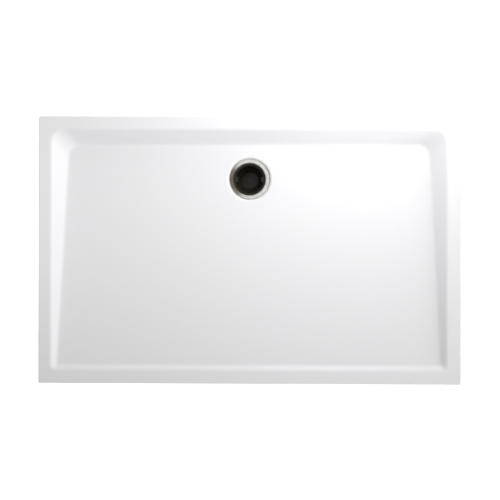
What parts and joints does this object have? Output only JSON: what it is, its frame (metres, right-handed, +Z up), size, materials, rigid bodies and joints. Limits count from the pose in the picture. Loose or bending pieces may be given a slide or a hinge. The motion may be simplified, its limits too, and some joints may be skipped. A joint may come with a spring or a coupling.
{
  "type": "shower tray",
  "caption": "Low rectangular shower tray with a flat rim, a sloping basin floor, a dished waste with a trap under it, and adjustable screw legs.",
  "frame": {"origin": "on the floor under the middle of the tray's outline", "axes": "+X along the long side, +Y towards the side with the waste, +Z up"},
  "size_m": [1.2, 0.76, 0.145],
  "materials": {
    "acrylic": "white sanitary acrylic, satin gloss",
    "cast_core": "cast stone resin, matt, off-white",
    "leg_plastic": "moulded nylon, black",
    "nut_plastic": "moulded nylon, grey",
    "pad_rubber": "black rubber",
    "zinc_steel": "zinc-plated steel",
    "flange_metal": "chrome-plated, turned",
    "seal_rubber": "black sealing rubber",
    "trap_plastic": "moulded polypropylene, dark grey",
    "cup_plastic": "moulded polypropylene, nearly black",
    "washer_plastic": "slip washer, natural nylon"
  },
  "bodies": {
    "tray": {"tray_skin": "acrylic", "tray_core": "cast_core", "leg_screws": "zinc_steel", "waste_flange": "flange_metal", "flange_gasket": "seal_rubber", "collar_gasket": "seal_rubber", "trap_body": "trap_plastic", "outlet_seal": "seal_rubber", "outlet_washer": "washer_plastic", "outlet_nut": "trap_plastic", "leg_plate_back_left": "leg_plastic", "leg_plate_back_middle": "leg_plastic", "leg_plate_back_right": "leg_plastic", "leg_plate_front_left": "leg_plastic", "leg_plate_front_middle": "leg_plastic", "leg_plate_front_right": "leg_plastic"},
    "nut_back_left": {"leg_nut_back_left": "nut_plastic"},
    "foot_back_left": {"leg_foot_back_left": "leg_plastic", "foot_pad_back_left": "pad_rubber"},
    "nut_back_middle": {"leg_nut_back_middle": "nut_plastic"},
    "foot_back_middle": {"leg_foot_back_middle": "leg_plastic", "foot_pad_back_middle": "pad_rubber"},
    "nut_back_right": {"leg_nut_back_right": "nut_plastic"},
    "foot_back_right": {"leg_foot_back_right": "leg_plastic", "foot_pad_back_right": "pad_rubber"},
    "nut_front_left": {"leg_nut_front_left": "nut_plastic"},
    "foot_front_left": {"leg_foot_front_left": "leg_plastic", "foot_pad_front_left": "pad_rubber"},
    "nut_front_middle": {"leg_nut_front_middle": "nut_plastic"},
    "foot_front_middle": {"leg_foot_front_middle": "leg_plastic", "foot_pad_front_middle": "pad_rubber"},
    "nut_front_right": {"leg_nut_front_right": "nut_plastic"},
    "foot_front_right": {"leg_foot_front_right": "leg_plastic", "foot_pad_front_right": "pad_rubber"},
    "cup": {"trap_cup": "cup_plastic", "cup_ring": "seal_rubber"}
  },
  "joints": [
    {"name": "nut_back_left_turn", "type": "hinge", "parent": "tray", "child": "nut_back_left", "pos_m": [-0.54, 0.32, 0.0437], "axis": [0, 0, 1], "range_deg": [-1440, 2400]},
    {"name": "foot_back_left_slide", "type": "slide", "parent": "tray", "child": "foot_back_left", "axis": [0, 0, 1], "range_m": [-0.02, 0.012]},
    {"name": "nut_back_middle_turn", "type": "hinge", "parent": "tray", "child": "nut_back_middle", "pos_m": [0, 0.32, 0.0437], "axis": [0, 0, 1], "range_deg": [-1440, 2400]},
    {"name": "foot_back_middle_slide", "type": "slide", "parent": "tray", "child": "foot_back_middle", "axis": [0, 0, 1], "range_m": [-0.02, 0.012]},
    {"name": "nut_back_right_turn", "type": "hinge", "parent": "tray", "child": "nut_back_right", "pos_m": [0.54, 0.32, 0.0437], "axis": [0, 0, 1], "range_deg": [-1440, 2400]},
    {"name": "foot_back_right_slide", "type": "slide", "parent": "tray", "child": "foot_back_right", "axis": [0, 0, 1], "range_m": [-0.02, 0.012]},
    {"name": "nut_front_left_turn", "type": "hinge", "parent": "tray", "child": "nut_front_left", "pos_m": [-0.54, -0.32, 0.0437], "axis": [0, 0, 1], "range_deg": [-1440, 2400]},
    {"name": "foot_front_left_slide", "type": "slide", "parent": "tray", "child": "foot_front_left", "axis": [0, 0, 1], "range_m": [-0.02, 0.012]},
    {"name": "nut_front_middle_turn", "type": "hinge", "parent": "tray", "child": "nut_front_middle", "pos_m": [0, -0.32, 0.0437], "axis": [0, 0, 1], "range_deg": [-1440, 2400]},
    {"name": "foot_front_middle_slide", "type": "slide", "parent": "tray", "child": "foot_front_middle", "axis": [0, 0, 1], "range_m": [-0.02, 0.012]},
    {"name": "nut_front_right_turn", "type": "hinge", "parent": "tray", "child": "nut_front_right", "pos_m": [0.54, -0.32, 0.0437], "axis": [0, 0, 1], "range_deg": [-1440, 2400]},
    {"name": "foot_front_right_slide", "type": "slide", "parent": "tray", "child": "foot_front_right", "axis": [0, 0, 1], "range_m": [-0.02, 0.012]},
    {"name": "cup_lift", "type": "slide", "parent": "tray", "child": "cup", "axis": [0, 0, 1], "range_m": [0, 0.095]}
  ],
  "couplings": [
    {"joint": "foot_back_left_slide", "follows": "nut_back_left_turn", "m_per_rad": -0.000477},
    {"joint": "foot_back_middle_slide", "follows": "nut_back_middle_turn", "m_per_rad": -0.000477},
    {"joint": "foot_back_right_slide", "follows": "nut_back_right_turn", "m_per_rad": -0.000477},
    {"joint": "foot_front_left_slide", "follows": "nut_front_left_turn", "m_per_rad": -0.000477},
    {"joint": "foot_front_middle_slide", "follows": "nut_front_middle_turn", "m_per_rad": -0.000477},
    {"joint": "foot_front_right_slide", "follows": "nut_front_right_turn", "m_per_rad": -0.000477}
  ]
}
